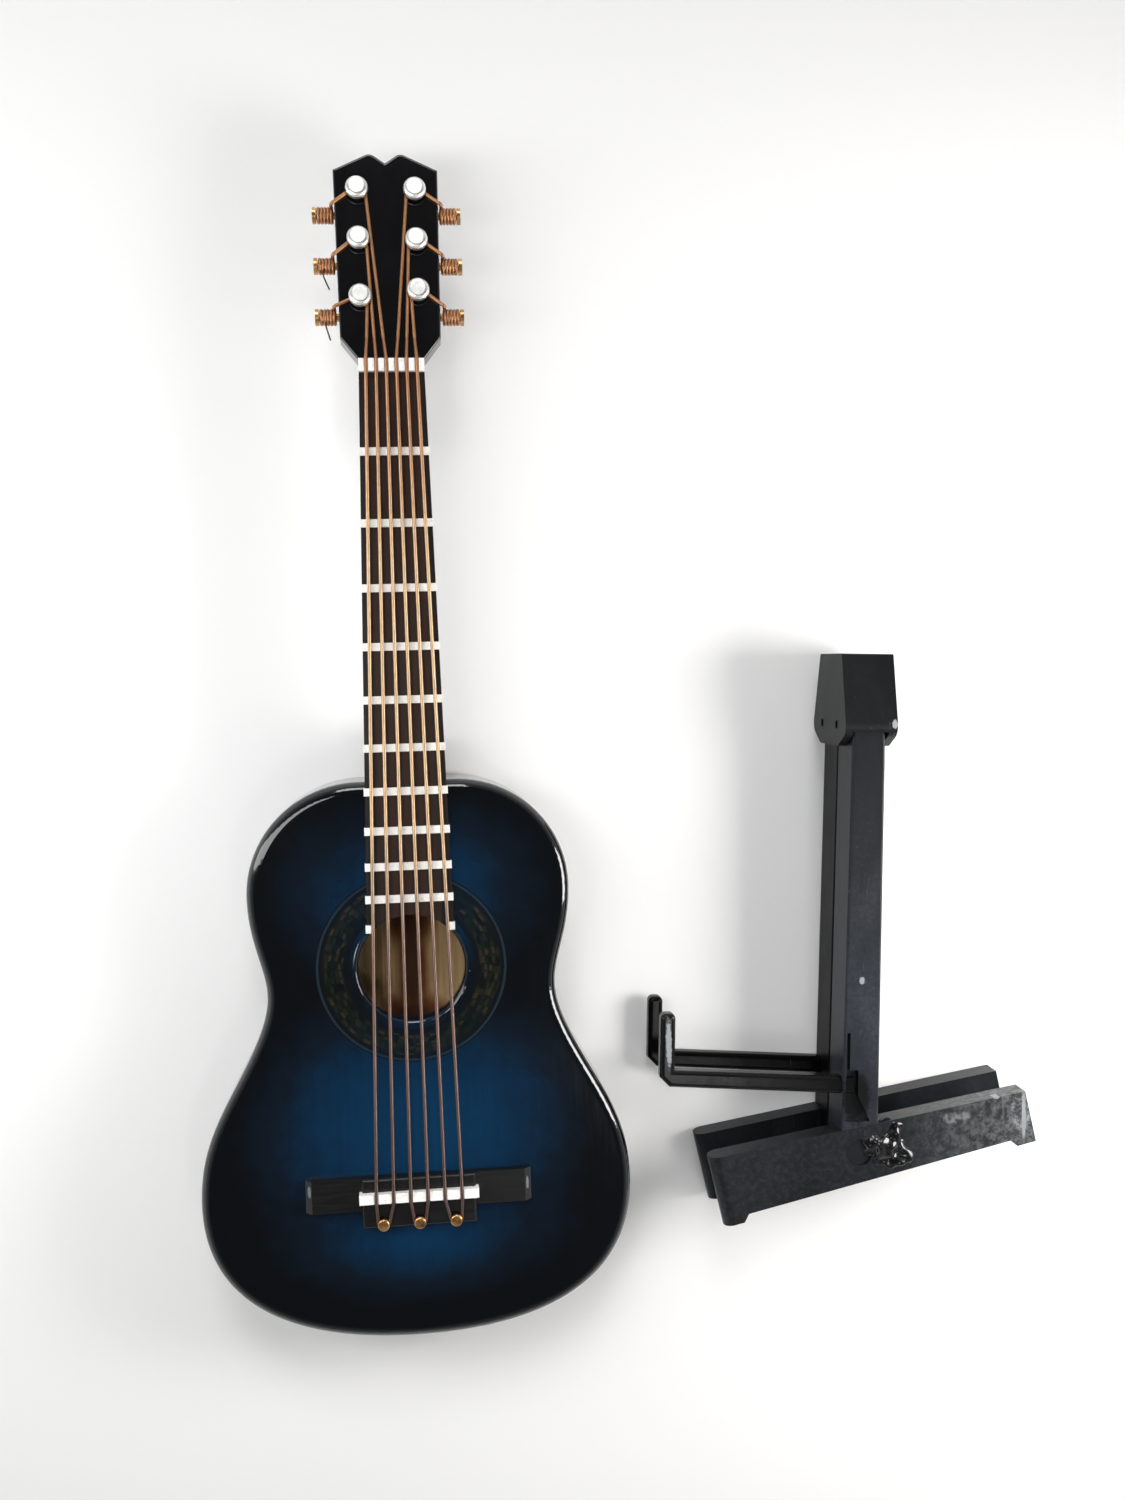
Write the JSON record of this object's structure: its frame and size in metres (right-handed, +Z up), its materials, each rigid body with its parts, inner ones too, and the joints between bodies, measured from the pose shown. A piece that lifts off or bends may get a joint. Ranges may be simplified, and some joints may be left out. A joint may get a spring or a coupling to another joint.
{
  "type": "miniature guitar with folding stand",
  "caption": "Miniature acoustic guitar lying on its back with its folding A-frame display stand folded flat beside it.",
  "frame": {"origin": "on the flat back of the guitar body, on its centreline, straight below the saddle", "axes": "+Z up from the table through the soundboard, +Y along the neck towards the headstock, +X towards the folded stand"},
  "size_m": [0.1342, 0.1842, 0.0185],
  "materials": {
    "blue_lacquer": "high-gloss blue burst lacquer",
    "black_lacquer": "gloss black lacquer",
    "inner_wood": "raw softwood",
    "fingerboard_wood": "black stained, satin",
    "white_strip": "white, gloss",
    "rosette_inlay": "small dark mosaic under lacquer",
    "bridge_wood": "dark stained, satin",
    "copper_wire": "drawn copper wire",
    "chrome": "polished",
    "brass": "turned, slightly dull",
    "stand_plastic": "charcoal black, scratched satin"
  },
  "bodies": {
    "guitar": {"soundboard": "blue_lacquer", "back_plate": "black_lacquer", "side_left": "black_lacquer", "side_right": "black_lacquer", "neck_block": "inner_wood", "tail_block": "inner_wood", "neck": "black_lacquer", "fingerboard": "fingerboard_wood", "nut": "white_strip", "rosette": "rosette_inlay", "bridge": "bridge_wood", "saddle": "white_strip", "fret_01": "white_strip", "fret_02": "white_strip", "fret_03": "white_strip", "fret_04": "white_strip", "fret_05": "white_strip", "fret_06": "white_strip", "fret_07": "white_strip", "fret_08": "white_strip", "fret_09": "white_strip", "fret_10": "white_strip", "fret_11_left": "white_strip", "fret_11_right": "white_strip", "tie_pin_1": "brass", "tie_pin_2": "brass", "tie_pin_3": "brass", "string_post_1": "chrome", "string_1": "copper_wire", "string_post_2": "chrome", "string_2": "copper_wire", "string_post_3": "chrome", "string_3": "copper_wire", "string_post_4": "chrome", "string_4": "copper_wire", "string_post_5": "chrome", "string_5": "copper_wire", "string_post_6": "chrome", "string_6": "copper_wire"},
    "stand_cap": {"stand_cap": "stand_plastic", "left_hinge_pin": "stand_plastic", "right_hinge_pin": "stand_plastic"},
    "left_leg": {"left_leg": "stand_plastic", "left_foot": "stand_plastic", "left_arm": "stand_plastic"},
    "right_leg": {"right_leg": "stand_plastic", "right_foot": "stand_plastic", "right_arm": "stand_plastic"},
    "peg_1": {"tuning_peg_1": "brass"},
    "peg_2": {"tuning_peg_2": "brass"},
    "peg_3": {"tuning_peg_3": "brass"},
    "peg_4": {"tuning_peg_4": "brass"},
    "peg_5": {"tuning_peg_5": "brass"},
    "peg_6": {"tuning_peg_6": "brass"}
  },
  "joints": [
    {"name": "stand_lift", "type": "slide", "parent": "guitar", "child": "stand_cap", "axis": [0, 0, 1], "range_m": [0, 0.12]},
    {"name": "left_leg_fold", "type": "hinge", "parent": "stand_cap", "child": "left_leg", "pos_m": [0.0734, 0.07023, 0.01305], "axis": [-0.9993, 0.0375, 0], "range_deg": [0, 15]},
    {"name": "right_leg_fold", "type": "hinge", "parent": "stand_cap", "child": "right_leg", "pos_m": [0.0734, 0.07037, 0.00526], "axis": [-0.9993, 0.0375, 0], "range_deg": [-15, 0]},
    {"name": "peg_1_turn", "type": "hinge", "parent": "guitar", "child": "peg_1", "pos_m": [-0.0095, 0.13518, 0.01252], "axis": [-1, 0, 0], "continuous": true},
    {"name": "peg_2_turn", "type": "hinge", "parent": "guitar", "child": "peg_2", "pos_m": [-0.0095, 0.14314, 0.01169], "axis": [-1, 0, 0], "continuous": true},
    {"name": "peg_3_turn", "type": "hinge", "parent": "guitar", "child": "peg_3", "pos_m": [-0.0095, 0.15109, 0.01085], "axis": [-1, 0, 0], "continuous": true},
    {"name": "peg_4_turn", "type": "hinge", "parent": "guitar", "child": "peg_4", "pos_m": [0.0095, 0.15109, 0.01085], "axis": [1, 0, 0], "continuous": true},
    {"name": "peg_5_turn", "type": "hinge", "parent": "guitar", "child": "peg_5", "pos_m": [0.0095, 0.14314, 0.01169], "axis": [1, 0, 0], "continuous": true},
    {"name": "peg_6_turn", "type": "hinge", "parent": "guitar", "child": "peg_6", "pos_m": [0.0095, 0.13518, 0.01252], "axis": [1, 0, 0], "continuous": true}
  ]
}
